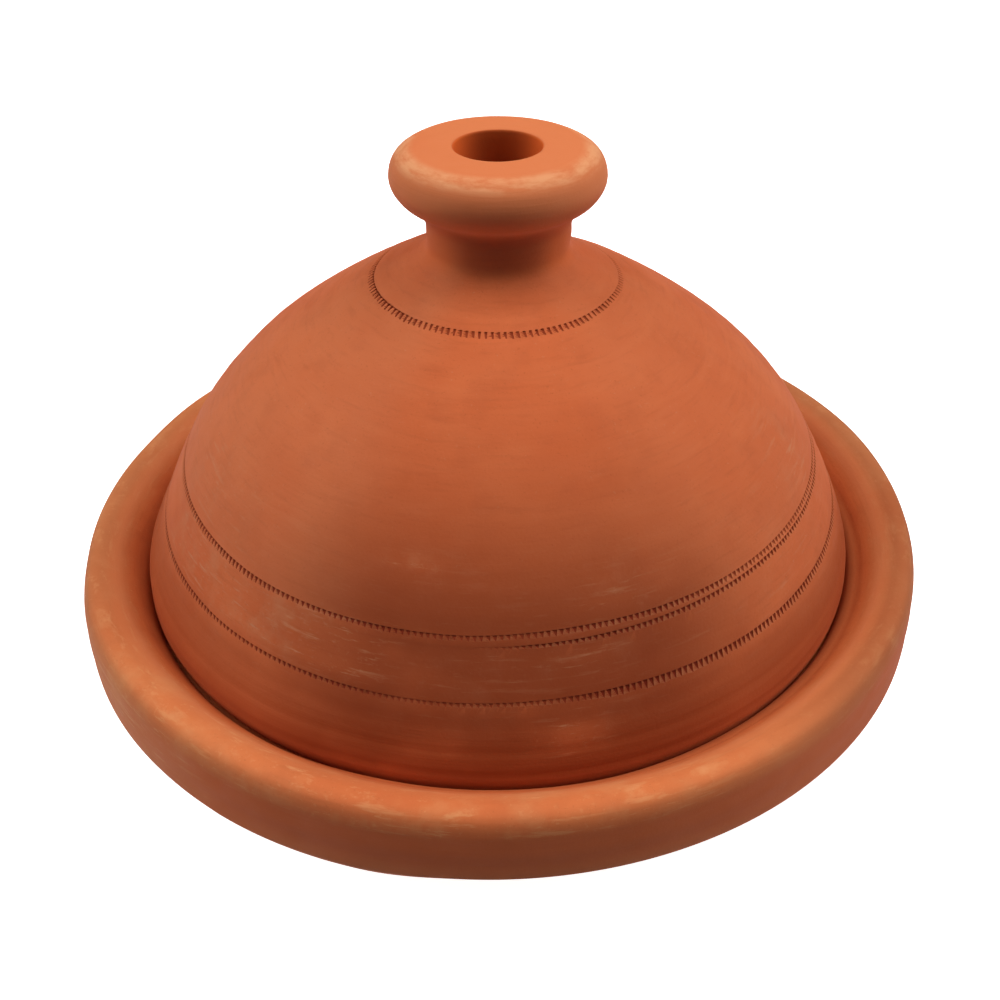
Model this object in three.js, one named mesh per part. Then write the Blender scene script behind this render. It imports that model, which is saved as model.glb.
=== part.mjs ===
// Tagine: an unglazed earthenware cooking pot in two loose pieces, a shallow dish
// with a heavy rounded rim and a domed lid that ends in a hollow mushroom knob.
// Millimetres, +Z up. The dish stands on z = 0 and everything is turned about Z.
import * as THREE from "three";

// Facets round every turned surface, and steps along each curve of a profile
const SIDES = 64;
const BROAD_STEPS = 8;
const DETAIL_STEPS = 4;

// Lid: the thrown dome. Heights are measured from the foot it stands on.
const LID_RADIUS = 134.2; // widest, at the belly
const BELLY_HEIGHT = 10.5;
const BELLY_PULL = 12.5; // how long the wall stays upright above the belly
const HAUNCH_RADIUS = 113.7; // where the flank bends over into the dome
const HAUNCH_HEIGHT = 58.5;
const HAUNCH_LEAN = 31; // degrees off upright
const FLANK_PULL = 4;
const DOME_PULL = 29.6;
const SHOULDER_RADIUS = 30; // where the dome meets the neck's fillet
const SHOULDER_HEIGHT = 124.5;
const SHOULDER_RISE = 28.9; // degrees off level
const SHOULDER_PULL = 42;
const LID_WALL = 9;
const CROWN_WALL = 11; // clay between the knob's well and the inside of the dome

// Lid: the foot ring under the belly
const FOOT_TUCK = 5; // how far the foot draws in from the belly
const FOOT_WIDTH = 9;

// Lid: the mushroom knob and its well
const NECK_RADIUS = 24.7;
const NECK_FOOT = 130.2; // where the neck starts upright, above its fillet
const NECK_HEIGHT = 135.8; // and where it flares out into the knob
const NECK_SWEEP = 3; // reach of the fillet between shoulder and neck
const KNOB_RADIUS = 36.2;
const KNOB_HEIGHT = 154; // where the knob is widest
const KNOB_FLARE = 9.6; // reach of the curve under the knob
const KNOB_ROUND_WIDTH = 9.5; // rounding from the widest line to the flat top
const LID_HEIGHT = 162.8;
const WELL_RADIUS = 14.6;
const WELL_LIP = 1; // rounding of the well's mouth
const WELL_DEPTH = 34;
const WELL_FILLET = 5;

// Lid: three bands rolled round the outside, as shallow V-shaped rings
const BAND_HEIGHTS = [35, 53.4, 116.6];
const BAND_WIDTH = 3;
const BAND_DEPTH = 0.6;

// Dish: the flat base, the bowl and the heavy rim
const BASE_RADIUS = 98;
const BASE_RISE = 32; // degrees off level where the bowl leaves the base
const BOWL_PULL = 30.5;
const WALL_PULL = 5;
const WALL_HEIGHT = 29.5; // where the rim is widest
const DISH_HEIGHT = 54.5; // crest of the rim
const FLOOR_WALL = 11;
const FLOOR_RADIUS = 72; // level part of the floor inside
const RIM_ROUND_WIDTH = 7; // crest to outside
const RIM_UPRIGHT = 22.5; // how long the outside stays upright
const RIM_CREST_PULL = 6; // how far the crest runs level towards the outside
const RIM_FALL_PULL = 6; // and towards the lid
const RIM_FALL_WIDTH = 17; // crest to the wall that the lid drops inside
const RIM_FALL_DEPTH = 16;
const RIM_INNER_PULL = 2.5; // how the slope inside turns upright

// The seat: a level ledge inside the rim that carries the lid's foot
const SEAT_DEPTH = 21; // crest to ledge
const SEAT_GAP = 0.3; // foot to ledge
const LID_CLEARANCE = 1.8; // belly to the wall round it
const LEDGE_MARGIN = 2.5; // ledge showing inside the foot
const LEDGE_FILLET = 3;
const LEDGE_ROUND = 3; // edge where the ledge turns down into the bowl
const BOWL_DROP = 13; // how steeply the inside leaves the ledge
const FLOOR_PULL = 20;

// Share of a quarter ellipse's half-axis at which its curve handle lies
const ROUND = 0.5523;
// How closely a height is searched for along a path that runs from 0 to 1
const SEARCH_STEP = 1e-9;

const seatHeight = DISH_HEIGHT - SEAT_DEPTH;
const galleryRadius = LID_RADIUS + LID_CLEARANCE;
const crestRadius = galleryRadius + RIM_FALL_WIDTH;
const dishRadius = crestRadius + RIM_ROUND_WIDTH;
const footRadius = LID_RADIUS - FOOT_TUCK;
const footInner = footRadius - FOOT_WIDTH;
const ledgeInner = footInner - LEDGE_MARGIN;
const wellFloor = LID_HEIGHT - WELL_DEPTH;

// A unit step that rises from the level by an angle in degrees
function heading(degrees) {
  const angle = THREE.MathUtils.degToRad(degrees);
  return new THREE.Vector2(Math.cos(angle), Math.sin(angle));
}

// Profile points turned about Z into a closed, smooth-shaded solid
function turned(name, points, material) {
  const geometry = new THREE.LatheGeometry(points, SIDES);
  geometry.rotateX(Math.PI / 2);
  const mesh = new THREE.Mesh(geometry, material);
  mesh.name = name;
  return mesh;
}

// The dome's outside from belly to shoulder, as a path with the height rising
function domePath() {
  const haunch = new THREE.Vector2(HAUNCH_RADIUS, HAUNCH_HEIGHT);
  const shoulder = new THREE.Vector2(SHOULDER_RADIUS, SHOULDER_HEIGHT);
  const up = heading(90 + HAUNCH_LEAN);
  const inward = heading(180 - SHOULDER_RISE);
  const belowHaunch = haunch.clone().addScaledVector(up, -FLANK_PULL);
  const aboveHaunch = haunch.clone().addScaledVector(up, DOME_PULL);
  const beforeShoulder = shoulder.clone().addScaledVector(inward, -SHOULDER_PULL);
  const path = new THREE.Path();
  path.moveTo(LID_RADIUS, BELLY_HEIGHT);
  path.bezierCurveTo(
    LID_RADIUS, BELLY_HEIGHT + BELLY_PULL, belowHaunch.x, belowHaunch.y, haunch.x, haunch.y,
  );
  path.bezierCurveTo(
    aboveHaunch.x, aboveHaunch.y, beforeShoulder.x, beforeShoulder.y, shoulder.x, shoulder.y,
  );
  return path;
}

// The point of the dome's outside at a height
function domePoint(path, height) {
  let low = 0;
  let high = 1;
  while (high - low > SEARCH_STEP) {
    const middle = (low + high) / 2;
    if (path.getPoint(middle).y < height) low = middle;
    else high = middle;
  }
  return path.getPoint(high);
}

// The dome's outside with each rolled band cut in as a shallow V
function bandedDome(path) {
  const half = BAND_WIDTH / 2;
  const isPlain = (point) => BAND_HEIGHTS.every((height) => Math.abs(point.y - height) > BAND_WIDTH);
  const points = path.getPoints(BROAD_STEPS).filter(isPlain);
  for (const height of BAND_HEIGHTS) {
    const lower = domePoint(path, height - half);
    const upper = domePoint(path, height + half);
    const along = upper.clone().sub(lower).normalize();
    const inward = new THREE.Vector2(-along.y, along.x);
    const root = domePoint(path, height).addScaledVector(inward, BAND_DEPTH);
    points.push(lower, root, upper);
  }
  return points.sort((a, b) => a.y - b.y);
}

// The dome's plain inside, one wall thickness in from the outside, from shoulder to belly
function innerDome(path) {
  const count = path.curves.length * DETAIL_STEPS;
  return Array.from({ length: count + 1 }, (_, step) => {
    const place = 1 - step / count;
    const along = path.getTangent(place);
    const inward = new THREE.Vector2(-along.y, along.x);
    return path.getPoint(place).addScaledVector(inward, LID_WALL);
  });
}

function makeLid(material) {
  const dome = domePath();
  const inside = innerDome(dome);
  const foot = new THREE.Path();
  foot.moveTo(footInner, 0);
  foot.lineTo(footRadius, 0);
  foot.bezierCurveTo(
    footRadius + ROUND * FOOT_TUCK, 0, LID_RADIUS, BELLY_HEIGHT * (1 - ROUND), LID_RADIUS, BELLY_HEIGHT,
  );

  const shoulder = new THREE.Vector2(SHOULDER_RADIUS, SHOULDER_HEIGHT);
  const sweep = shoulder.clone().addScaledVector(heading(180 - SHOULDER_RISE), NECK_SWEEP);
  const knobRound = LID_HEIGHT - KNOB_HEIGHT;
  const landRadius = KNOB_RADIUS - KNOB_ROUND_WIDTH;
  const knob = new THREE.Path();
  knob.moveTo(shoulder.x, shoulder.y);
  knob.bezierCurveTo(sweep.x, sweep.y, NECK_RADIUS, NECK_FOOT - NECK_SWEEP, NECK_RADIUS, NECK_FOOT);
  knob.lineTo(NECK_RADIUS, NECK_HEIGHT);
  knob.bezierCurveTo(
    NECK_RADIUS, NECK_HEIGHT + KNOB_FLARE, KNOB_RADIUS, KNOB_HEIGHT - KNOB_FLARE, KNOB_RADIUS, KNOB_HEIGHT,
  );
  knob.bezierCurveTo(
    KNOB_RADIUS, KNOB_HEIGHT + ROUND * knobRound,
    landRadius + ROUND * KNOB_ROUND_WIDTH, LID_HEIGHT, landRadius, LID_HEIGHT,
  );
  knob.lineTo(WELL_RADIUS + WELL_LIP, LID_HEIGHT);
  knob.quadraticCurveTo(WELL_RADIUS, LID_HEIGHT, WELL_RADIUS, LID_HEIGHT - WELL_LIP);
  knob.lineTo(WELL_RADIUS, wellFloor + WELL_FILLET);
  knob.quadraticCurveTo(WELL_RADIUS, wellFloor, WELL_RADIUS - WELL_FILLET, wellFloor);
  knob.lineTo(0, wellFloor);

  const crown = new THREE.Path();
  const ceiling = wellFloor - CROWN_WALL;
  const start = inside[0];
  crown.moveTo(0, ceiling);
  crown.quadraticCurveTo(start.x / 2, ceiling, start.x, start.y);

  const belly = inside[inside.length - 1];
  const lip = new THREE.Path();
  lip.moveTo(belly.x, belly.y);
  lip.quadraticCurveTo(belly.x, BELLY_HEIGHT / 2, footInner, 0);

  const outside = [
    ...foot.getPoints(DETAIL_STEPS),
    ...bandedDome(dome).slice(1, -1),
    ...knob.getPoints(DETAIL_STEPS),
  ];
  const hollow = [
    ...crown.getPoints(DETAIL_STEPS),
    ...inside.slice(1, -1),
    ...lip.getPoints(DETAIL_STEPS),
  ];
  // The solid runs from the crown's underside down the hollow, round the foot and up to the well
  return turned("domed_lid", [...hollow.slice(0, -1), ...outside], material);
}

function makeDish(material) {
  const leave = heading(BASE_RISE);
  const outside = new THREE.Path();
  outside.moveTo(0, 0);
  outside.lineTo(BASE_RADIUS, 0);
  outside.bezierCurveTo(
    BASE_RADIUS + BOWL_PULL * leave.x, BOWL_PULL * leave.y,
    dishRadius, WALL_HEIGHT - WALL_PULL, dishRadius, WALL_HEIGHT,
  );
  outside.bezierCurveTo(
    dishRadius, WALL_HEIGHT + RIM_UPRIGHT,
    crestRadius + RIM_CREST_PULL, DISH_HEIGHT, crestRadius, DISH_HEIGHT,
  );

  const fallHeight = DISH_HEIGHT - RIM_FALL_DEPTH;
  const bowlRadius = ledgeInner - LEDGE_ROUND;
  const inside = new THREE.Path();
  inside.moveTo(crestRadius, DISH_HEIGHT);
  inside.bezierCurveTo(
    crestRadius - RIM_FALL_PULL, DISH_HEIGHT,
    galleryRadius, fallHeight + RIM_INNER_PULL, galleryRadius, fallHeight,
  );
  inside.lineTo(galleryRadius, seatHeight + LEDGE_FILLET);
  inside.quadraticCurveTo(galleryRadius, seatHeight, galleryRadius - LEDGE_FILLET, seatHeight);
  inside.lineTo(ledgeInner, seatHeight);
  inside.quadraticCurveTo(bowlRadius, seatHeight, bowlRadius, seatHeight - LEDGE_ROUND);
  inside.bezierCurveTo(
    bowlRadius, seatHeight - BOWL_DROP, FLOOR_RADIUS + FLOOR_PULL, FLOOR_WALL, FLOOR_RADIUS, FLOOR_WALL,
  );
  inside.lineTo(0, FLOOR_WALL);
  const points = [...outside.getPoints(BROAD_STEPS), ...inside.getPoints(DETAIL_STEPS).slice(1)];
  return turned("base_dish", points, material);
}

const dishClay = new THREE.MeshStandardMaterial({ color: 0xb8643c, roughness: 0.88, metalness: 0 });
const lidClay = new THREE.MeshStandardMaterial({ color: 0xa9542f, roughness: 0.84, metalness: 0 });

const tagine = new THREE.Group();
const lidGroup = new THREE.Group();
lidGroup.position.z = seatHeight + SEAT_GAP;
lidGroup.add(makeLid(lidClay));
tagine.add(makeDish(dishClay), lidGroup);

export default tagine;
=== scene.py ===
"""An unglazed earthenware tagine, dressed for a studio picture.

The domed lid and the dish are turned surfaces worked out as whole arrays: a profile in millimetres is
carried round the upright axis in rings, the rolled bands are cut in tooth by tooth, and the clay is a fired,
porous red body with pale lime bloom. The meshes are in metres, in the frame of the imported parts.
"""
import math

import bpy
import numpy as np
from mathutils import Matrix, Vector


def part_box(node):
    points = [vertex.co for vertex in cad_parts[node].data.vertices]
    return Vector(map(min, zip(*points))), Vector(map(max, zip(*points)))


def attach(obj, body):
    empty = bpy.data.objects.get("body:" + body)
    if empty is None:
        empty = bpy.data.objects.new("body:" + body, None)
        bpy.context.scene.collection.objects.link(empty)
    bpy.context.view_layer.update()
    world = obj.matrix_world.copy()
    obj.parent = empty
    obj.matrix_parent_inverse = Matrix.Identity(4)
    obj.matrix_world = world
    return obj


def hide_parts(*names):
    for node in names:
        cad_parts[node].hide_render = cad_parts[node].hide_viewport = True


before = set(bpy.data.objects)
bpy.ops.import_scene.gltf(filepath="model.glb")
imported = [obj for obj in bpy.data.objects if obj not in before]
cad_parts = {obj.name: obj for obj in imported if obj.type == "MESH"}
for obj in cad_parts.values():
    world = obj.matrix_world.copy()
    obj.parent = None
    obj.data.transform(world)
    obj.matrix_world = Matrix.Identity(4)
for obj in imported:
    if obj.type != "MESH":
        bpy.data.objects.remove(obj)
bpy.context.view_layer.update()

MM = 0.001

# Overall sizes in millimetres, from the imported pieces
lid_low, lid_high = (np.array(corner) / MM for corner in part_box("domed_lid"))
dish_high = np.array(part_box("base_dish")[1]) / MM
LID_RADIUS = lid_high[0]
LID_FOOT = lid_low[2]
LID_TOP = lid_high[2]
DISH_RADIUS = dish_high[0]
DISH_HEIGHT = dish_high[2]

# Lid sizes; heights are measured from its foot
BELLY_HEIGHT = 10.5
BELLY_PULL = 12.5
HAUNCH = (113.7, 58.5)
HAUNCH_LEAN = 31
FLANK_PULL = 4
DOME_PULL = 29.6
SHOULDER = (30, 124.5)
SHOULDER_RISE = 28.9
SHOULDER_PULL = 42
LID_WALL = 9
CROWN_WALL = 11
FOOT_TUCK = 5
FOOT_WIDTH = 9
NECK_RADIUS = 24.7
NECK_FOOT = 130.2
NECK_HEIGHT = 135.8
NECK_SWEEP = 3
KNOB = (36.2, 154)
KNOB_FLARE = 9.6
KNOB_ROUND_WIDTH = 9.5
WELL_RADIUS = 14.6
WELL_LIP = 1
WELL_DEPTH = 34
WELL_FILLET = 5

# Dish sizes; heights are measured from the surface it stands on
BASE_RADIUS = 98
BASE_RISE = 32
BOWL_PULL = 30.5
WALL_PULL = 5
WALL_HEIGHT = 29.5
FLOOR_WALL = 11
FLOOR_RADIUS = 72
RIM_ROUND_WIDTH = 7
RIM_UPRIGHT = 22.5
RIM_CREST_PULL = 6
RIM_FALL_PULL = 6
RIM_FALL_WIDTH = 17
RIM_FALL_DEPTH = 16
RIM_INNER_PULL = 2.5
SEAT_DEPTH = 21
LEDGE_MARGIN = 2.5
LEDGE_FILLET = 3
LEDGE_ROUND = 3
BOWL_DROP = 13
FLOOR_PULL = 20

# Share of a quarter ellipse's half-axis at which its curve handle lies
ROUND = 0.5523

# Rolled bands: one small toothed wheel, so every band has the same spacing of teeth
TOOTH_SPACING = 2.03
TOOTH_DEPTH = 0.5
TOOTH_EDGE = 0.06  # the steep side of a tooth, in spacings
TOOTH_SLANT = 0.16  # how far the tip lies to the right of the upper edge, in spacings
LINE_DEPTH = 0.1  # the wheel's rim scores a fine line along the upper edge
TOOTH_SIDES = (0.33, 0.05)  # half a tooth's width at its upper edge and at its tip, in spacings
CROWN_SIDES = (0.2, 0.1)  # round the neck the wheel was pressed lightly, on the middle of its teeth
TOOTH_TAPER = 0.7  # the share of its depth that a tooth loses towards its tip
LENGTH_SPREAD = (0.92, 1.08)  # how a tooth's length differs from its neighbours', as shares
PRESS_SPREAD = (0.75, 1.1)  # and how strongly it was pressed
SLANT_SPREAD = 0.05  # and its slant, in spacings
# painted shade: how dark the line is painted beside a tooth
LINE_SHADE = 0.35  # how dark the line is, beside a tooth
LAND_HIGHLIGHT = (0.3, (0.7, 5, 80, 20))  # how pale the clay between teeth is painted, a highlight with some lime: a base, then a change as below
# Rings from below the teeth to above them, as shares of a tooth's length below its upper edge
TOOTH_RINGS = (1.12, 1, 0.78, 0.52, 0.28, 0.06, -0.04, -0.12)

# Each band's height, and how it changes with the bearing from the front: how far it strays up, how long its
# teeth are, how strongly they and the line were pressed. Each is a base, then changes as (amount, from, to,
# fade). sides are the teeth's half widths, and the entry after them is the band's share of paler clay between
# the teeth: a painted highlight on their lit edges, with some lime.
BANDS = {
    "low": {
        "height": 69.6, "seed": 5, "sides": TOOTH_SIDES, "rubbed_and_highlit": 0.25,
        "stray": (0, (-0.9, -150, -14, 28), (0.2, 20, 110, 12), (0.2, -150, -58, 10)),
        "length": (1.3, (1.2, 18, 90, 16), (0.7, -100, -56, 10)),
        "press": (1, (-0.4, -14, 4, 12), (-0.15, 70, 150, 20)),
        "line": (2.2, (-2, -45, 45, 20)),
    },
    "mid_lower": {
        "height": 84.6, "seed": 7, "sides": TOOTH_SIDES, "rubbed_and_highlit": 0.25,
        "stray": (0, (2.35, 50, 120, 65)),
        "length": (0.8, (0.8, 30, 140, 38)),
        "press": (0, (1, 8, 150, 14)),
        "line": (0, (0.4, 8, 150, 14)),
    },
    "mid": {
        "height": 88, "seed": 11, "sides": TOOTH_SIDES, "rubbed_and_highlit": 0.25,
        "stray": (0, (0.85, 15, 150, 20), (-0.4, -42, -10, 14)),
        "length": (1.5, (0.2, 8, 70, 10), (0.6, -110, -48, 14)),
        "press": (1, (-0.2, 48, 160, 20), (-0.3, -8, 4, 12)),
        "line": (0.2, (2, -150, -58, 15)),
    },
    "crown": {
        "height": 151, "seed": 13, "sides": CROWN_SIDES, "rubbed_and_highlit": 0,
        "stray": (0, (1.2, 65, 120, 40), (0.2, -140, -58, 20)),
        "length": (1.9, (0.4, -30, 30, 30), (0.4, -140, -50, 16)),
        "press": (0.85, (0.15, -140, -50, 20), (-0.3, 80, 140, 24)),
        "line": (0.1, (2.6, -140, -55, 20), (0.5, 40, 70, 20)),
    },
}

# How far the lid's axis strays to the right at some heights: its knob is thrown a little off true
LEAN_HEIGHTS = (100, 150, 166)
LEAN = (0, 0.3, 0.7)

# Where hands left a piece untrue: a push into the clay, then the bearings and the heights that it holds
# between, each with the width over which it fades
LID_DENTS = (
    (-0.6, (-125, -65, 40), (122, 150, 14)),
    (0.8, (95, 150, 35), (150, 162, 6)),
    (-1.7, (-130, -38, 24), (33, 48, 16)),
    (-1.3, (-150, -108, 20), (54, 75, 14)),
)
DISH_DENTS = (
    (-1.3, (112, 150, 30), (52.8, 60, 6)),
    (1.3, (-106, -82, 17), (16, 60, 10)),
    (-1.3, (-34, -16, 12), (5, 26, 5)),
)
# How far the rim's inner face leans towards the lid: a base, then changes with the bearing
RIM_CLOSE = (1.2, (-1.45, -130, -38, 24), (0.4, -110, -60, 15), (0.85, 35, 120, 25))

# Unevenness of the wheel: slow waves round a piece, and rings along it as (spacing, size)
LID_WAVER = 0.16
LID_RIDGES = (7.5, 0.06)
FOOT_RIDGES = (4.1, 0.05)
DISH_WAVER = 0.22
DISH_RIDGES = (9, 0.05)
FLOOR_SPIRAL = (11, 0.22)

# Distances along a profile over which the unevenness comes in and goes
FOOT_FADE = 12
KNOB_FADE = 8
RIM_FADE = 4
CLOSE_FADE = 3

# Smudges of lime on the lid: bearing, height, how far they reach in each, and their share
SMUDGES = (
    (-62, 100, 12, 10, 0.5),
    (-15, 104, 5, 2, 0.8),
    (-4, 77, 10, 8, 0.2),
    (9, 58, 4, 5, 1.4),
    (12, 80, 7, 4, 0.4),
    (18, 95, 6, 6, 0.4),
    (52, 80, 8, 6, 0.4),
    (68, 102, 6, 11, 0.7),
)

# Colours that lie over the clay's own
# painted shade in the cuts and along the lines
CUT_SHADE = "#761F06"
# painted shade in the well, under the knob and in the corner between the rim and the lid
RECESS_SHADE = "#5A1C06"
WORN_AND_LIT = "#DC7C4C"  # paler clay: on the knob, and painted light on the dish's crest and low front
RUBBED_AND_HIGHLIT = "#F2B582"  # paler clay: rubbed bare on the knob's top, and a painted highlight on the lands between teeth
RAW_AND_LIT = "#E06628"  # brighter orange clay: in the well and at the dish's low front, and painted light round the neck

# The clay's surface: its relief in millimetres, and how it takes the light
SAND_RELIEF = 0.15
LINE_RELIEF = 0.25
CLAY_ROUGHNESS = (0.7, 0.9)
CLAY_IOR = 1.5
CLAY_GLINT = 0.15  # a porous skin gives back little of what a smooth one would

# Columns of points round each stretch of a piece, and the distance between its rings
BODY_COLUMNS = 256
KNOB_COLUMNS = 192
WELL_COLUMNS = 96
HOLLOW_COLUMNS = 144
DISH_COLUMNS = 320
RING_STEP = 2.4
FOOT_STEP = 0.9
KNOB_STEP = 1.3
MOUTH_STEP = 0.5
WELL_STEP = 3
HOLLOW_STEP = 4
LIP_STEP = 2
BASE_STEP = 6
RIM_STEP = 1.2
LEDGE_STEP = 2
BAND_MARGIN = 1  # the plain clay left beside a band's rings
WELL_MIDDLE = 1  # the radius at which the rings on the well's floor end
FLOOR_MIDDLE = 2  # and those on the dish's floor
SHARP_EDGE = 38  # degrees between two faces from which the edge is drawn sharp

# The picture: where the camera stands, in millimetres and degrees, and its frame
CAMERA_BACK = 383.4
CAMERA_HEIGHT = 333.1
CAMERA_DIP = 36.1
CAMERA_TURN = 2.47
CAMERA_ROLL = 0.41
SENSOR_WIDTH = 36
FOCAL_SHARE = 1.2  # focal length over the frame's width
FRAME_SHIFT = -0.044

# The light: how bright the walls at each side are, and a soft lamp at the upper right in metres and watts
SIDE_BRIGHTNESS = 4.0
LEVEL_SHARE = 0.04  # of that brightness, level with the pot
BELOW_SHARE = 0.4  # and from below, thrown up by the floor
# The square of a direction's upward part, where the walls begin to brighten and where they are full
WALL_RISE = (0.02, 0.37)
HORIZON = 0.1  # the upward part within which light from below changes to light from above
LAMP_PLACE = (0.6, 0, 1.05)
LAMP_AIM = (0, 0, 0.1)
LAMP_SIZE = (1.0, 0.6)
LAMP_POWER = 1.8


def heading(degrees):
    """A unit step in the profile's plane that rises from the level by an angle."""
    return np.array([math.cos(math.radians(degrees)), math.sin(math.radians(degrees))])


def curve(start, leave, arrive, end, steps=24):
    """A cubic curve: its ends weighted by (1-t)^3 and t^3, its handles by 3t(1-t)^2 and 3t^2(1-t)."""
    t = np.linspace(0, 1, steps + 1)[:, None]
    weights = (1 - t) ** 3, 3 * t * (1 - t) ** 2, 3 * t**2 * (1 - t), t**3
    return sum(weight * np.array(point, float) for weight, point in zip(weights, (start, leave, arrive, end)))


def corner_curve(start, corner, end):
    """A rounded corner: a curve whose two handles lie most of the way to the sharp corner."""
    start, corner, end = (np.array(point, float) for point in (start, corner, end))
    return curve(start, start + ROUND * (corner - start), end + ROUND * (corner - end), end, steps=8)


def line(start, end):
    """The two ends of a straight stretch."""
    return np.array([start, end], float)


def offset(points, distance):
    """A run of points moved to the left of the way it runs, at right angles to it."""
    along = np.gradient(points, axis=0)
    along /= np.hypot(*along.T)[:, None]
    return points + distance * np.c_[-along[:, 1], along[:, 0]]


class Profile:
    """Stretches of a profile laid end to end. The clay lies to the left of the way it runs.

    It holds the points, their distance along the profile, the unit step into the clay at each, and for every
    named stretch the distances at which it begins and ends.
    """

    def __init__(self, stretches):
        points = [np.zeros((0, 2))]
        self.span = {}
        reach = 0.0
        for name, stretch in stretches.items():
            length = np.hypot(*np.diff(stretch, axis=0).T).sum()
            self.span[name] = (reach, reach + length)
            reach += length
            points.append(stretch[:-1])
        points.append(stretch[-1:])
        self.points = np.concatenate(points)
        steps = np.diff(self.points, axis=0)
        self.along = np.r_[0, np.cumsum(np.hypot(*steps.T))]
        way = np.gradient(self.points, self.along, axis=0)
        way /= np.hypot(*way.T)[:, None]
        self.inward = np.c_[-way[:, 1], way[:, 0]]

    def at(self, along):
        """Radius, height and unit step into the clay at distances along the profile, by interpolation."""
        columns = *self.points.T, *self.inward.T
        return [np.interp(along, self.along, column) for column in columns]

    def along_at_height(self, height, first, last):
        """The distance along the profile at which it reaches a height, over stretches where it rises."""
        inside = (self.along >= self.span[first][0]) & (self.along <= self.span[last][1])
        return np.interp(height, self.points[inside, 1], self.along[inside])


def lid_profile():
    """The lid's outline: from under the crown, down the hollow, round the foot and up to the well's floor."""
    top = LID_TOP - LID_FOOT
    haunch, shoulder, knob = (np.array(point, float) for point in (HAUNCH, SHOULDER, KNOB))
    neck_foot, neck = np.array([[NECK_RADIUS, NECK_FOOT], [NECK_RADIUS, NECK_HEIGHT]])
    up, inward = heading(90 + HAUNCH_LEAN), heading(180 - SHOULDER_RISE)
    belly = np.array([LID_RADIUS, BELLY_HEIGHT])
    flank = curve(belly, belly + (0, BELLY_PULL), haunch - FLANK_PULL * up, haunch)
    dome = curve(haunch, haunch + DOME_PULL * up, shoulder - SHOULDER_PULL * inward, shoulder)
    hollow = offset(np.concatenate([flank[:-1], dome]), LID_WALL)[::-1]
    ceiling = top - WELL_DEPTH - CROWN_WALL
    foot = LID_RADIUS - FOOT_TUCK
    foot_inner = foot - FOOT_WIDTH
    land = KNOB[0] - KNOB_ROUND_WIDTH
    floor = top - WELL_DEPTH
    stretches = {
        "crown": corner_curve((0, ceiling), (hollow[0, 0] / 2, ceiling), hollow[0]),
        "hollow": hollow,
        "lip": corner_curve(hollow[-1], (hollow[-1, 0], BELLY_HEIGHT / 2), (foot_inner, 0)),
        "foot": line((foot_inner, 0), (foot, 0)),
        "tuck": corner_curve((foot, 0), (LID_RADIUS, 0), belly),
        "flank": flank,
        "dome": dome,
        "sweep": curve(shoulder, shoulder + NECK_SWEEP * inward, neck_foot - (0, NECK_SWEEP), neck_foot),
        "neck": line(neck_foot, neck),
        "flare": curve(neck, neck + (0, KNOB_FLARE), knob - (0, KNOB_FLARE), knob),
        "round": corner_curve(knob, (KNOB[0], top), (land, top)),
        "land": line((land, top), (WELL_RADIUS + WELL_LIP, top)),
        "mouth": corner_curve(
            (WELL_RADIUS + WELL_LIP, top), (WELL_RADIUS, top), (WELL_RADIUS, top - WELL_LIP)
        ),
        "well": line((WELL_RADIUS, top - WELL_LIP), (WELL_RADIUS, floor + WELL_FILLET)),
        "sump": corner_curve(
            (WELL_RADIUS, floor + WELL_FILLET), (WELL_RADIUS, floor), (WELL_RADIUS - WELL_FILLET, floor)
        ),
        "floor": line((WELL_RADIUS - WELL_FILLET, floor), (0, floor)),
    }
    return Profile({name: stretch + (0, LID_FOOT) for name, stretch in stretches.items()})


def dish_profile():
    """The dish's outline: from the middle of its base, up the outside, over the rim and down to the floor."""
    crest = DISH_RADIUS - RIM_ROUND_WIDTH
    gallery = crest - RIM_FALL_WIDTH
    fall = DISH_HEIGHT - RIM_FALL_DEPTH
    seat = DISH_HEIGHT - SEAT_DEPTH
    ledge = LID_RADIUS - FOOT_TUCK - FOOT_WIDTH - LEDGE_MARGIN
    bowl = ledge - LEDGE_ROUND
    leave = np.array([BASE_RADIUS, 0]) + BOWL_PULL * heading(BASE_RISE)
    stretches = {
        "base": line((0, 0), (BASE_RADIUS, 0)),
        "bowl": curve(
            (BASE_RADIUS, 0), leave, (DISH_RADIUS, WALL_HEIGHT - WALL_PULL), (DISH_RADIUS, WALL_HEIGHT)
        ),
        "rim": curve(
            (DISH_RADIUS, WALL_HEIGHT), (DISH_RADIUS, WALL_HEIGHT + RIM_UPRIGHT),
            (crest + RIM_CREST_PULL, DISH_HEIGHT), (crest, DISH_HEIGHT),
        ),
        "fall": curve(
            (crest, DISH_HEIGHT), (crest - RIM_FALL_PULL, DISH_HEIGHT),
            (gallery, fall + RIM_INNER_PULL), (gallery, fall),
        ),
        "gallery": line((gallery, fall), (gallery, seat + LEDGE_FILLET)),
        "corner": corner_curve(
            (gallery, seat + LEDGE_FILLET), (gallery, seat), (gallery - LEDGE_FILLET, seat)
        ),
        "ledge": line((gallery - LEDGE_FILLET, seat), (ledge, seat)),
        "turn": corner_curve((ledge, seat), (bowl, seat), (bowl, seat - LEDGE_ROUND)),
        "inside": curve(
            (bowl, seat - LEDGE_ROUND), (bowl, seat - BOWL_DROP),
            (FLOOR_RADIUS + FLOOR_PULL, FLOOR_WALL), (FLOOR_RADIUS, FLOOR_WALL),
        ),
        "floor": line((FLOOR_RADIUS, FLOOR_WALL), (0, FLOOR_WALL)),
    }
    return Profile(stretches)


def from_front(angles):
    """Angles about the upright axis as degrees from the front, positive to the right, within a half turn."""
    return (np.degrees(angles) + 270) % 360 - 180


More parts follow.
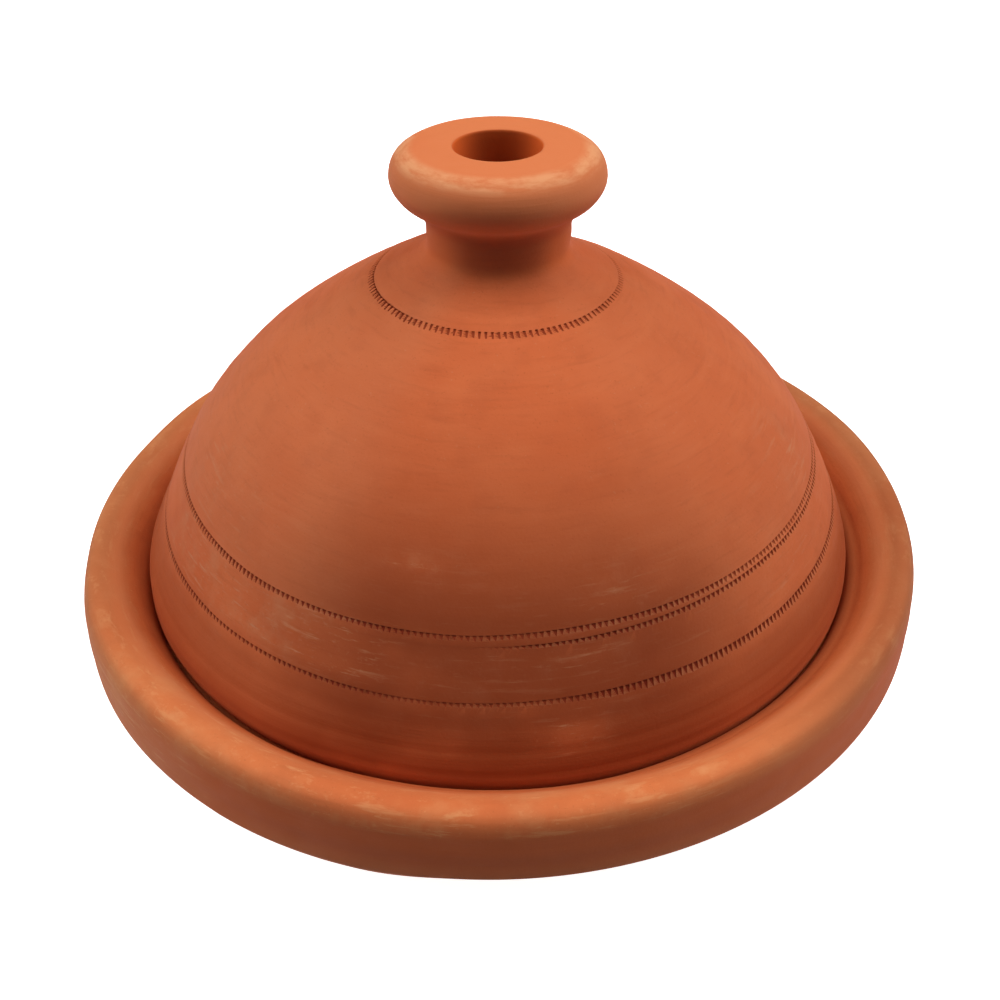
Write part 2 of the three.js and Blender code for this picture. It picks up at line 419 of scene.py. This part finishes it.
def smooth_step(value, low, high):
    """0 below low and 1 above high. Between, the share squared times three less twice the share."""
    share = np.clip((value - low) / (high - low), 0, 1)
    return share * share * (3 - 2 * share)


def window(value, low, high, fade):
    """1 between two values, easing to 0 over a width outside them."""
    return smooth_step(value, low - fade, low) * (1 - smooth_step(value, high, high + fade))


def by_bearing(bearing, base, *changes):
    """A base, plus each change where it holds between two bearings, easing off beside them."""
    return base + sum(amount * window(bearing, low, high, fade) for amount, low, high, fade in changes)


def waver(angles, along, seed, size):
    """Unevenness of hand work: a few slow waves round the piece, whose phases drift along the profile."""
    draw = np.random.default_rng(seed)
    total = 0
    for turns in (1, 2, 3, 5, 8):
        phase = draw.uniform(0, 2 * np.pi)
        drift = draw.uniform(-0.03, 0.03)
        total = total + np.sin(turns * angles + phase + drift * along) / turns
    return size * total


def ridges(along, spacing, size):
    """Throwing rings: an even wave along the profile, bent by a slower one so that no two rings are alike."""
    return size * np.sin(2 * np.pi * along / spacing + 1.7 * np.sin(along / (3.1 * spacing)))


def dents(bearing, height, places):
    """Pushes into the clay where hands left a piece untrue: the sum of each push times its two windows."""
    return sum(push * window(bearing, *across) * window(height, *upright) for push, across, upright in places)


def plain_rings(start, end, step, columns):
    """Even rings over a stretch: distances along the profile as a column, and angles as a row."""
    count = max(2, round((end - start) / step))
    along = np.linspace(start, end, count, endpoint=False)[:, None]
    angles = np.linspace(0, 2 * np.pi, columns, endpoint=False)[None, :]
    none = 0 * along * angles
    return {"along": along + none, "angles": angles + none, "push": none, "cut": none, "land": none}


def toothed_rings(profile, band):
    """One row of rolled teeth as rings: a wide upper edge that narrows to a slanted slit below.

    Each tooth has four columns: the top and the foot of its left side, then the foot and the top of its right
    side. Ring by ring down from the upper edge the sides close, and the foot's depth shrinks. The clay is
    painted darker at the foot and along the line, as painted shade, and paler on the land between the teeth,
    as a painted highlight where their edges catch the light, with some lime.
    """
    top = profile.along_at_height(band["height"], "flank", "dome")
    teeth = round(2 * np.pi * float(profile.at(top)[0]) / TOOTH_SPACING)
    draw = np.random.default_rng(band["seed"])
    centre = (np.arange(teeth) + 0.5) / teeth * 2 * np.pi
    bearing = from_front(centre)
    stray, length, press, score = (
        by_bearing(bearing, *band[name]) for name in ("stray", "length", "press", "line")
    )
    reach = length * draw.uniform(*LENGTH_SPREAD, teeth)
    depth = TOOTH_DEPTH * press * draw.uniform(*PRESS_SPREAD, teeth)
    slant = TOOTH_SLANT + draw.normal(0, SLANT_SPREAD, teeth)
    share = np.array(TOOTH_RINGS)[:, None]
    is_cut = (share > 0) & (share <= 1)
    width = np.interp(share, (0, 1), band["sides"])
    middle = slant * np.clip(share, 0, 1)
    outer = width + TOOTH_EDGE
    places = np.stack([middle - outer, middle - width, middle + width, middle + outer], axis=-1)
    angles = centre[:, None] + places * 2 * np.pi / teeth
    foot = depth * np.where(is_cut, 1 - TOOTH_TAPER * share, 0)
    scored = score * ((share > -0.02) & (share < 0.2))
    none = 0 * foot
    push = np.stack([none, foot, foot, none], axis=-1) + LINE_DEPTH * scored[..., None]
    dark = none + press * is_cut
    cut = np.stack([none, dark, dark, none], axis=-1)
    cut = np.maximum(cut, LINE_SHADE * scored[..., None])
    pale_land = dark * band["rubbed_and_highlit"] * by_bearing(bearing, *LAND_HIGHLIGHT)
    land = np.stack([pale_land, none, none, pale_land], axis=-1)
    along = top + stray - share * reach
    along = np.repeat(along[..., None], 4, axis=-1)
    made = {"along": along, "angles": angles, "push": push, "cut": cut, "land": land}
    return {name: values.reshape(len(share), -1) for name, values in made.items()}


def zip_rings(low, low_angles, high, high_angles):
    """Triangles between two closed rings of points, whatever their counts.

    The edges of both rings are taken in the order of the angles at which they end, and each makes a triangle
    with the point that the other ring has reached.
    """
    ends = np.r_[low_angles[1:], low_angles[0] + 2 * np.pi, high_angles[1:], high_angles[0] + 2 * np.pi]
    is_low = np.argsort(ends, kind="stable") < len(low_angles)
    i = np.cumsum(is_low) - is_low
    j = np.cumsum(~is_low) - ~is_low
    low_next = low + (i + 1) % len(low_angles)
    high_next = high + (j + 1) % len(high_angles)
    ahead = np.where(is_low, low_next, high_next)
    return np.c_[low + i % len(low_angles), ahead, high + j % len(high_angles)]


def turned_piece(name, profile, zones, marks, lean, material):
    """A closed turned surface: every zone's rings, zipped to the next, with a point on the axis at each end.

    A point lies at its ring's radius and height, moved into the clay by its push, turned to its angle and
    moved sideways by the lean at its height, which is interpolated between heights and their shifts.
    marks gives each point's shares of the clay's coats from its bearing, radius and height, and the rings
    add the painted shade of their cuts and their paler lands, a painted highlight.
    """
    parts, angles, cuts, lands = [], [], [], []
    for zone in zones:
        radius, height, radius_in, height_in = profile.at(zone["along"])
        radius = radius + zone["push"] * radius_in
        height = height + zone["push"] * height_in
        turn = zone["angles"]
        parts += list(np.stack([radius * np.cos(turn), radius * np.sin(turn), height], -1))
        angles += list(turn)
        cuts += list(zone["cut"])
        lands += list(zone["land"])
    sizes = np.array([len(ring) for ring in parts])
    starts = np.r_[0, np.cumsum(sizes)]
    ends = np.array([[0, 0, profile.points[0, 1]], [0, 0, profile.points[-1, 1]]])
    points = np.concatenate(parts + [ends])
    bearing = from_front(np.arctan2(points[:, 1], points[:, 0]))
    shares = marks(bearing, np.hypot(points[:, 0], points[:, 1]), points[:, 2])
    shares["cut"] = np.concatenate(cuts + [np.zeros(2)])
    shares["rubbed_and_highlit"] = np.maximum(shares["rubbed_and_highlit"], np.concatenate(lands + [np.zeros(2)]))
    points[:, 0] += np.interp(points[:, 2], *lean)
    first, last = starts[-1], starts[-1] + 1
    around = np.arange(sizes[0])
    caps = [np.c_[np.full(sizes[0], first), (around + 1) % sizes[0], around]]
    around = np.arange(sizes[-1])
    caps += [starts[-2] + np.c_[around, (around + 1) % sizes[-1], np.full(sizes[-1], last - starts[-2])]]
    strips = [
        zip_rings(starts[k], angles[k], starts[k + 1], angles[k + 1]) for k in range(len(parts) - 1)
    ]
    triangles = np.concatenate(strips + caps)

    mesh = bpy.data.meshes.new(name)
    mesh.vertices.add(len(points))
    mesh.vertices.foreach_set("co", (points * MM).astype(np.float32).ravel())
    mesh.loops.add(triangles.size)
    mesh.loops.foreach_set("vertex_index", triangles.astype(np.int32).ravel())
    mesh.polygons.add(len(triangles))
    mesh.polygons.foreach_set("loop_start", np.arange(0, triangles.size, 3, dtype=np.int32))
    mesh.update(calc_edges=True)
    mesh.shade_smooth()
    mesh.set_sharp_from_angle(angle=math.radians(SHARP_EDGE))
    for attribute, values in shares.items():
        layer = mesh.attributes.new(attribute, "FLOAT", "POINT")
        layer.data.foreach_set("value", values.astype(np.float32))
    mesh.materials.append(material)
    piece = bpy.data.objects.new(name, mesh)
    bpy.context.scene.collection.objects.link(piece)
    return piece


# Colours and shader nodes


def linear(text):
    """A colour written as sRGB hex, as the linear red, green, blue and alpha that shaders use."""
    levels = [int(text[start:start + 2], 16) / 255 for start in (1, 3, 5)]
    return *[v / 12.92 if v <= 0.04045 else ((v + 0.055) / 1.055) ** 2.4 for v in levels], 1


def add_node(tree, kind, inputs=None, **settings):
    """Adds one shader node: settings are its properties, and inputs are socket values or linked outputs."""
    made = tree.nodes.new(kind)
    for name, value in settings.items():
        setattr(made, name, value)
    for name, value in (inputs or {}).items():
        if isinstance(value, bpy.types.NodeSocket):
            tree.links.new(value, made.inputs[name])
        else:
            made.inputs[name].default_value = value
    return made


def patches(tree, place, size, low, high, flatten=1, detail=4):
    """Clouds of noise as a share from 0 to 1: size is in millimetres, and flatten squeezes them in height."""
    moved = add_node(tree, "ShaderNodeMapping", {"Vector": place, "Scale": (1, 1, flatten)}).outputs[0]
    noise = add_node(
        tree, "ShaderNodeTexNoise",
        {"Vector": moved, "Scale": 1 / (size * MM), "Detail": detail, "Roughness": 0.6},
    ).outputs["Fac"]
    return add_node(
        tree, "ShaderNodeMapRange", {"Value": noise, "From Min": low, "From Max": high},
        interpolation_type="SMOOTHSTEP",
    ).outputs[0]


def fired_clay(name, body, pale, deep, painted_shade_tone, lime):
    """Unglazed red earthenware, thrown on a wheel, wiped with a wet rib and fired in a wood kiln.

    To the eye it is matt and slightly sandy. Its colour drifts with the fire, fine grog shows as specks, lime
    drawn out with the water dries as pale streaks, and painted shade darkens the cuts and the hollows. Some
    paler coats are painted light.
    """
    material = bpy.data.materials.new(name)
    material.use_nodes = True
    tree = material.node_tree
    place = add_node(tree, "ShaderNodeTexCoord").outputs["Object"]
    # Each coat: its colour, the attribute that says where it lies, its share, and its clouds: their size in
    # millimetres, the noise from which they show and at which they are full, their flattening and detail
    coats = (
        # The fire's drift, hand-sized, then finger-sized mottling and wiping along the wheel's turn
        (pale, None, 0.7, (85, 0.35, 0.68, 1, 3)),
        (deep, None, 0.22, (16, 0.45, 0.75, 1, 6)),
        (pale, None, 0.28, (34, 0.5, 0.72, 9, 7)),
        (deep, None, 0.2, (14, 0.5, 0.74, 12, 8)),
        # Grog: dark and pale specks of about a millimetre
        (deep, None, 0.28, (0.9, 0.62, 0.72, 1, 2)),
        (lime, None, 0.2, (1.3, 0.66, 0.76, 1, 2)),
        # Painted shade: a darker coat low on the lid and up its front, and on the dish's rim slope and walls
        (painted_shade_tone, "painted_shade_tone", 1, (70, 0.1, 0.5, 1, 3)),
        # Paler clay: on the knob, and as painted light on the dish's crest and low front; clay rubbed bare on
        # the knob's top, and paler lands between teeth as a painted highlight; and brighter orange clay in
        # the well, at the dish's low front, and round the neck as painted light
        (WORN_AND_LIT, "worn_and_lit", 1, (70, 0.1, 0.5, 1, 3)),
        (RUBBED_AND_HIGHLIT, "rubbed_and_highlit", 0.52, (9, 0.3, 0.62, 5, 8)),
        (RAW_AND_LIT, "raw_and_lit", 1, (70, 0.1, 0.5, 1, 3)),
        # Lime bloom as a haze, as clouds, as long and short streaks and as crumbs; on the dish the haze also
        # holds painted light at the low front
        (lime, "haze_and_lit", 0.12, (60, 0.1, 0.6, 1, 3)),
        (lime, "bloom", 0.24, (15, 0.46, 0.72, 0.9, 6)),
        (lime, "bloom", 0.4, (26, 0.56, 0.68, 11, 9)),
        (lime, "bloom", 0.45, (11, 0.58, 0.7, 8, 8)),
        (lime, "bloom", 0.2, (2.6, 0.58, 0.72, 1.5, 4)),
        # Painted shade in the cuts and along the lines, and in the well, under the knob and in the corner by
        # the lid
        (CUT_SHADE, "cut", 0.9, (5, 0, 0.4, 1, 2)),
        (RECESS_SHADE, "painted_recess_shade", 0.9, (12, 0, 0.4, 1, 2)),
    )
    colour = linear(body)
    for tint, mask, share, cloud in coats:
        amount = add_node(
            tree, "ShaderNodeMath", {0: patches(tree, place, *cloud), 1: share}, operation="MULTIPLY"
        ).outputs[0]
        if mask:
            where = add_node(tree, "ShaderNodeAttribute", attribute_name=mask).outputs["Fac"]
            amount = add_node(tree, "ShaderNodeMath", {0: amount, 1: where}, operation="MULTIPLY").outputs[0]
        colour = add_node(
            tree, "ShaderNodeMix", {"Factor": amount, 6: colour, 7: linear(tint)}, data_type="RGBA"
        ).outputs[2]

    rough = add_node(
        tree, "ShaderNodeMapRange",
        {"Value": patches(tree, place, 7, 0, 1), "To Min": CLAY_ROUGHNESS[0], "To Max": CLAY_ROUGHNESS[1]},
    ).outputs[0]
    # Grains of sand about a millimetre across, then lines of throwing, drawn out along the wheel's turn
    throwing = patches(tree, place, 30, 0, 1, 38, 5)
    sandy = add_node(
        tree, "ShaderNodeBump",
        {"Height": patches(tree, place, 1.1, 0, 1, 1, 3), "Strength": 0.3, "Distance": SAND_RELIEF * MM},
    ).outputs[0]
    lines = add_node(tree, "ShaderNodeAttribute", attribute_name="lined").outputs["Fac"]
    lined = add_node(
        tree, "ShaderNodeBump",
        {"Height": throwing, "Normal": sandy, "Strength": lines, "Distance": LINE_RELIEF * MM},
    ).outputs[0]
    shader = tree.nodes["Principled BSDF"]
    shader.inputs["IOR"].default_value = CLAY_IOR
    shader.inputs["Specular IOR Level"].default_value = CLAY_GLINT
    tree.links.new(colour, shader.inputs["Base Color"])
    tree.links.new(rough, shader.inputs["Roughness"])
    tree.links.new(lined, shader.inputs["Normal"])
    return material


# The lid


def lowest(zone):
    """Where a zone's rings begin along the profile."""
    return zone["along"].min()


def highest(zone):
    """Where a zone's rings end along the profile."""
    return zone["along"].max()


def lid_zones(profile):
    """The lid's rings: the plain hollow, the foot, the wall with its toothed bands, the knob and its well.

    Outside, each point is pushed by slow waves, throwing rings and the dents, which fade at the foot and on
    the knob's top. Finer rings are added just above the foot.
    """
    span = profile.span
    low, mid_lower, mid, crown = (
        toothed_rings(profile, BANDS[name]) for name in ("low", "mid_lower", "mid", "crown")
    )
    zones = [
        plain_rings(HOLLOW_STEP, span["lip"][0], HOLLOW_STEP, HOLLOW_COLUMNS),
        plain_rings(span["lip"][0], span["tuck"][0], LIP_STEP, BODY_COLUMNS),
        plain_rings(span["tuck"][0], lowest(low) - BAND_MARGIN, FOOT_STEP, BODY_COLUMNS),
        low,
        plain_rings(highest(low) + BAND_MARGIN, lowest(mid_lower) - BAND_MARGIN, RING_STEP, BODY_COLUMNS),
        mid_lower,
        mid,
        plain_rings(highest(mid) + BAND_MARGIN, lowest(crown) - BAND_MARGIN, RING_STEP, BODY_COLUMNS),
        crown,
        plain_rings(highest(crown) + BAND_MARGIN, span["flare"][0], KNOB_STEP, KNOB_COLUMNS),
        plain_rings(span["flare"][0], span["mouth"][0], KNOB_STEP, KNOB_COLUMNS),
        plain_rings(span["mouth"][0], span["well"][0], MOUTH_STEP, KNOB_COLUMNS),
        plain_rings(span["well"][0], span["floor"][1] - WELL_MIDDLE, WELL_STEP, WELL_COLUMNS),
    ]
    first, last = span["tuck"][0], span["round"][1]
    belly = span["tuck"][1]
    for zone in zones:
        along, angles = zone["along"], zone["angles"]
        outside = smooth_step(along, first, first + FOOT_FADE)
        outside = outside * (1 - smooth_step(along, last - KNOB_FADE, last))
        uneven = waver(angles, along, 3, LID_WAVER) + ridges(along, *LID_RIDGES)
        uneven = uneven + dents(from_front(angles), profile.at(along)[1], LID_DENTS)
        near_foot = window(along, belly, belly + FOOT_FADE, FOOT_FADE / 2)
        zone["push"] = zone["push"] + outside * uneven + near_foot * ridges(along, *FOOT_RIDGES)
    return zones


def spot(bearing, height, place, reach):
    """A soft mark: 1 at a place, given as bearing and height, falling as a bell over its reach in both."""
    return np.exp(-(((bearing - place[0]) / reach[0]) ** 2) - ((height - place[1]) / reach[1]) ** 2)


def lid_marks(bearing, radius, height):
    """The share of each coat on the lid, from windows and eased steps over bearing, radius and height.

    Bearings are in degrees, and the rest is in millimetres.
    """
    in_well = (radius < WELL_RADIUS + 0.5) * (height > LID_TOP - WELL_DEPTH - 1)
    out_of_well = radius > WELL_RADIUS + 1
    facing = window(bearing, -18, 20, 30)
    # Lime: a little everywhere, more between the bands at the left, and in smudges
    bloom = 0.04 + 0.08 * window(height, 64, 104, 8)
    bloom = bloom + 0.9 * window(height, 73, 85, 4) * window(bearing, -64, -24, 10)
    for place, level, across, upward, share in SMUDGES:
        bloom = bloom + share * spot(bearing, height, (place, level), (across, upward))
    haze_and_lit = by_bearing(bearing, 0, (1, -85, -38, 20), (0.5, 40, 85, 20)) * window(height, 95, 165, 18)
    # Painted shade: a darker coat all round below the bands, and further up at the front
    around = np.maximum(facing, by_bearing(bearing, 0, (0.5, 40, 80, 20), (0.3, -80, -40, 20)))
    below_bands = (1 - smooth_step(height, 56, 76)) * (0.4 + 0.6 * around)
    up_the_front = (1 - smooth_step(height, 81, 144)) * facing
    painted_shade_tone = np.maximum(below_bands, up_the_front) * (1 - 0.3 * bloom)
    # Painted light at the very foot: less of the darker coat, where the rim throws light back on the lid
    painted_shade_tone = painted_shade_tone * (0.4 + 0.6 * smooth_step(height, 41, 47))
    # The knob, paler all over and paler still along the turn of its top
    worn_and_lit = smooth_step(height, 168, 182) * (1 - in_well)
    rubbed_and_highlit = worn_and_lit * window(radius, 30.5, 33, 3) * smooth_step(height, LID_TOP - 5, LID_TOP - 2)
    # Brighter orange clay in the well, and round the neck, where on its sides it is painted light under the
    # knob
    neck = window(height, 164, 184, 5) * (0.7 - 0.35 * smooth_step(height, 172, 178)) * (1 - 0.6 * facing)
    raw_and_lit = np.maximum(in_well, neck * out_of_well)
    # Painted shade deep in the well and on its far side, and a little under the knob's front
    behind = 0.6 * smooth_step(np.abs(bearing), 105, 165)
    throat = in_well * np.maximum(1 - smooth_step(height, LID_TOP - 26, LID_TOP - 9), behind)
    under_knob = 0.3 * window(height, 163, 174, 5) * facing * out_of_well
    return {
        "bloom": np.clip(bloom, 0, 1), "haze_and_lit": haze_and_lit, "painted_shade_tone": np.clip(painted_shade_tone, 0, 1), "worn_and_lit": worn_and_lit,
        "rubbed_and_highlit": rubbed_and_highlit, "raw_and_lit": raw_and_lit, "painted_recess_shade": throat + under_knob,
        "lined": 0.08 + 0.3 * worn_and_lit + 0.2 * (1 - smooth_step(height, 52, 66)),
    }


# The dish


def dish_zones(profile):
    """The dish's rings: the base, the outside, the rim, the ledge for the lid and the thrown floor.

    The outside is pushed by slow waves, throwing rings and the dents, and the rim's inner face leans towards
    the lid. The floor's ridge is a spiral: a wave along the profile whose phase makes one turn round the
    axis.
    """
    span = profile.span
    zones = [
        plain_rings(BASE_STEP / 2, span["bowl"][0], BASE_STEP, HOLLOW_COLUMNS),
        plain_rings(span["bowl"][0], span["rim"][0], RING_STEP, DISH_COLUMNS),
        plain_rings(span["rim"][0], span["gallery"][0], RIM_STEP, DISH_COLUMNS),
        plain_rings(span["gallery"][0], span["inside"][0], LEDGE_STEP, DISH_COLUMNS),
        plain_rings(span["inside"][0], span["floor"][1] - FLOOR_MIDDLE, RING_STEP, HOLLOW_COLUMNS),
    ]
    spacing, size = FLOOR_SPIRAL
    fall_end, gallery_end = span["fall"][1], span["gallery"][1]
    for zone in zones:
        along, angles = zone["along"], zone["angles"]
        bearing = from_front(angles)
        outside = smooth_step(along, *span["bowl"]) * (1 - smooth_step(along, fall_end - RIM_FADE, fall_end))
        uneven = outside * (waver(angles, along, 17, DISH_WAVER) + ridges(along, *DISH_RIDGES))
        untrue = (1 - smooth_step(along, *span["fall"])) * dents(bearing, profile.at(along)[1], DISH_DENTS)
        spiral = size * np.sin(2 * np.pi * (along / spacing + angles / (2 * np.pi)))
        thrown = smooth_step(along, *span["inside"]) * spiral
        inner_face = window(along, fall_end - CLOSE_FADE, gallery_end - 1, CLOSE_FADE)
        close = by_bearing(bearing, *RIM_CLOSE) * inner_face
        zone["push"] = zone["push"] + uneven + untrue + thrown - close
    return zones


def dish_marks(bearing, radius, height):
    """The share of each coat on the dish, from windows and eased steps over bearing, radius and height.

    Bearings are in degrees, and the rest is in millimetres.
    """
    aside = np.abs(bearing)
    outside = smooth_step(radius, 145, 152)
    # The lower front, seen from outside: the wall and, below it, the bowl down to the base
    ahead = (1 - smooth_step(aside, 45, 80)) * (radius > np.minimum(BASE_RADIUS - 2 + 2 * height, 150))
    # Painted light: the floor's light thrown up on the low front
    painted_floor_bounce = ahead * (1 - smooth_step(height, 24, 38)) * (1 - smooth_step(aside, 18, 50))
    # Lime: along the crest, most of all at the front left, and on the left wall
    crest = window(height, 50, 60, 5) * by_bearing(bearing, 0.25, (0.6, -50, 14, 14))
    wall = 0.8 * outside * window(height, 24, 52, 6) * window(bearing, -100, -55, 25)
    ring = 0.7 + 0.6 * smooth_step(aside, 12, 36) + 0.8 * smooth_step(aside, 70, 120) * outside
    ring = ring * window(height, 50, 60, 4) * smooth_step(radius, 138, 144)
    # Painted shade: a darker coat on the rim's inner slope beside the lid, on the wall's sides and all along
    # its lower part
    slope = (1 - smooth_step(radius, 133, 142)) * smooth_step(height, 37, 42)
    sides = np.maximum(0.46 * smooth_step(aside, 42, 78), 0.8 * window(bearing, 50, 120, 26))
    shaded = outside * np.maximum(sides, 0.45 * (1 - smooth_step(height, 46, 54)))
    # Painted light: paler clay along the upward-facing crest, and low down at the front where the floor
    # throws light up
    worn_and_lit = 0.5 + 0.3 * smooth_step(aside, 20, 45)
    worn_and_lit = worn_and_lit * window(height, 51, 60, 3) * (1 - slope) * (1 - outside)
    # Painted shade in the corner between the rim and the lid, at the right
    corner = (1 - smooth_step(radius, 134, 141)) * smooth_step(height, 37, 42)
    plain = np.zeros_like(height)
    return {
        "bloom": np.clip(np.maximum(crest, wall) + 0.04, 0, 1),
        # the haze also carries painted light at the low front
        "haze_and_lit": np.maximum(np.maximum(3 * wall, ring), 1.5 * painted_floor_bounce),
        "painted_shade_tone": np.maximum(slope, shaded), "worn_and_lit": np.maximum(worn_and_lit, painted_floor_bounce), "rubbed_and_highlit": plain,
        "raw_and_lit": 0.5 * ahead * (1 - smooth_step(height, 45, 54)),
        "painted_recess_shade": 0.35 * corner * window(bearing, 30, 130, 25), "lined": plain + 0.25,
    }


def make_pieces():
    """The two clay pieces, each riding its body in place of its plain solid."""
    # The fourth colour of each clay is the tone of its painted shade
    dish_clay = fired_clay(
        "unglazed_earthenware_dish",
        body="#CB6536", pale="#D97541", deep="#A54C28", painted_shade_tone="#9C4A27", lime="#E2A56E",
    )
    lid_clay = fired_clay(
        "unglazed_earthenware_lid",
        body="#CD6437", pale="#DA7445", deep="#A84E2A", painted_shade_tone="#92401E", lime="#CC926A",
    )
    no_lean = (0,), (0,)
    outline = dish_profile()
    dish = turned_piece("clay_dish", outline, dish_zones(outline), dish_marks, no_lean, dish_clay)
    outline = lid_profile()
    lid = turned_piece("clay_lid", outline, lid_zones(outline), lid_marks, (LEAN_HEIGHTS, LEAN), lid_clay)
    for piece, body, node, slot in (
        (dish, "dish", "base_dish", "dish_clay"), (lid, "lid", "domed_lid", "lid_clay")
    ):
        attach(piece, body)
        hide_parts(node)


# The studio


def make_floor():
    """A plain pale floor, wide enough to fill the picture."""
    material = bpy.data.materials.new("pale_floor_paint")
    material.use_nodes = True
    shader = material.node_tree.nodes["Principled BSDF"]
    shader.inputs["Base Color"].default_value = linear("#F4F2EF")
    shader.inputs["Emission Color"].default_value = linear("#FFFFFF")
    shader.inputs["Emission Strength"].default_value = 0.9
    shader.inputs["Roughness"].default_value = 0.9
    shader.inputs["Specular IOR Level"].default_value = 0.1
    reach = 6.0
    mesh = bpy.data.meshes.new("floor")
    mesh.from_pydata(
        [(-reach, -reach, 0), (reach, -reach, 0), (reach, reach, 0), (-reach, reach, 0)], [], [(0, 1, 2, 3)]
    )
    mesh.materials.append(material)
    floor = bpy.data.objects.new("floor", mesh)
    bpy.context.scene.collection.objects.link(floor)
    # The walls' light from below already holds what the floor throws up, so the floor adds none of its own
    floor.visible_diffuse = False


def make_lamp(name, place, aim, size, power):
    """A soft rectangular lamp at a place, facing an aim, with its width and depth as its size."""
    lamp = bpy.data.lights.new(name, "AREA")
    lamp.shape = "RECTANGLE"
    lamp.size, lamp.size_y = size
    lamp.energy = power
    made = bpy.data.objects.new(name, lamp)
    made.location = place
    made.rotation_euler = (Vector(aim) - Vector(place)).to_track_quat("-Z", "Y").to_euler()
    bpy.context.scene.collection.objects.link(made)


def make_studio():
    """Pale walls to the left and right, brightest well above the pot, and a soft lamp at the upper right.

    With x the sideways and z the upward part of a direction, the walls' brightness is the cube of
    x^2 / (1 - z^2), which is 1 straight to a side and 0 to the front or back, times a share that rises
    with z^2. The camera sees the walls as plain white.
    """
    scene = bpy.context.scene
    scene.view_settings.view_transform = "Standard"
    world = bpy.data.worlds.new("studio")
    world.use_nodes = True
    tree = world.node_tree
    way = add_node(tree, "ShaderNodeTexCoord").outputs["Generated"]
    parts = add_node(tree, "ShaderNodeSeparateXYZ", {"Vector": way}).outputs
    across = add_node(tree, "ShaderNodeMath", {0: parts["X"], 1: 2}, operation="POWER").outputs[0]
    upward = add_node(tree, "ShaderNodeMath", {0: parts["Z"], 1: 2}, operation="POWER").outputs[0]
    # 1 - z^2, kept just above zero straight up
    level = add_node(tree, "ShaderNodeMath", {0: 1.001, 1: upward}, operation="SUBTRACT").outputs[0]
    share = add_node(tree, "ShaderNodeMath", {0: across, 1: level}, operation="DIVIDE").outputs[0]
    sideways = add_node(tree, "ShaderNodeMath", {0: share, 1: 3}, operation="POWER").outputs[0]
    raised = add_node(
        tree, "ShaderNodeMapRange",
        {"Value": upward, "From Min": WALL_RISE[0], "From Max": WALL_RISE[1], "To Min": LEVEL_SHARE},
        interpolation_type="SMOOTHSTEP",
    ).outputs[0]
    brightness = add_node(
        tree, "ShaderNodeMapRange",
        {"Value": parts["Z"], "From Min": -HORIZON, "From Max": HORIZON,
         "To Min": BELOW_SHARE * SIDE_BRIGHTNESS, "To Max": SIDE_BRIGHTNESS},
    ).outputs[0]
    walls = add_node(tree, "ShaderNodeMath", {0: sideways, 1: raised}, operation="MULTIPLY").outputs[0]
    shown = add_node(tree, "ShaderNodeMath", {0: walls, 1: brightness}, operation="MULTIPLY").outputs[0]
    seen = add_node(tree, "ShaderNodeLightPath").outputs["Is Camera Ray"]
    shown = add_node(tree, "ShaderNodeMath", {0: shown, 1: seen}, operation="MAXIMUM").outputs[0]
    tree.links.new(shown, tree.nodes["Background"].inputs["Strength"])
    tree.nodes["Background"].inputs["Color"].default_value = linear("#FFFFFF")
    scene.world = world
    make_lamp("right_softbox", LAMP_PLACE, LAMP_AIM, LAMP_SIZE, LAMP_POWER)


def make_camera():
    """A camera in front and above: dipped, turned a little to the right, rolled, its frame cut off centre."""
    lens = bpy.data.cameras.new("camera")
    lens.sensor_width = SENSOR_WIDTH
    lens.lens = SENSOR_WIDTH * FOCAL_SHARE
    lens.shift_x = FRAME_SHIFT
    lens.clip_start = 0.01
    made = bpy.data.objects.new("camera", lens)
    turned = Matrix.Rotation(math.radians(-CAMERA_TURN), 4, "Z")
    dipped = Matrix.Rotation(math.radians(90 - CAMERA_DIP), 4, "X")
    rolled = Matrix.Rotation(math.radians(CAMERA_ROLL), 4, "Z")
    place = Matrix.Translation((0, -CAMERA_BACK * MM, CAMERA_HEIGHT * MM))
    made.matrix_world = place @ turned @ dipped @ rolled
    bpy.context.scene.collection.objects.link(made)
    bpy.context.scene.camera = made


make_pieces()
make_floor()
make_studio()
make_camera()
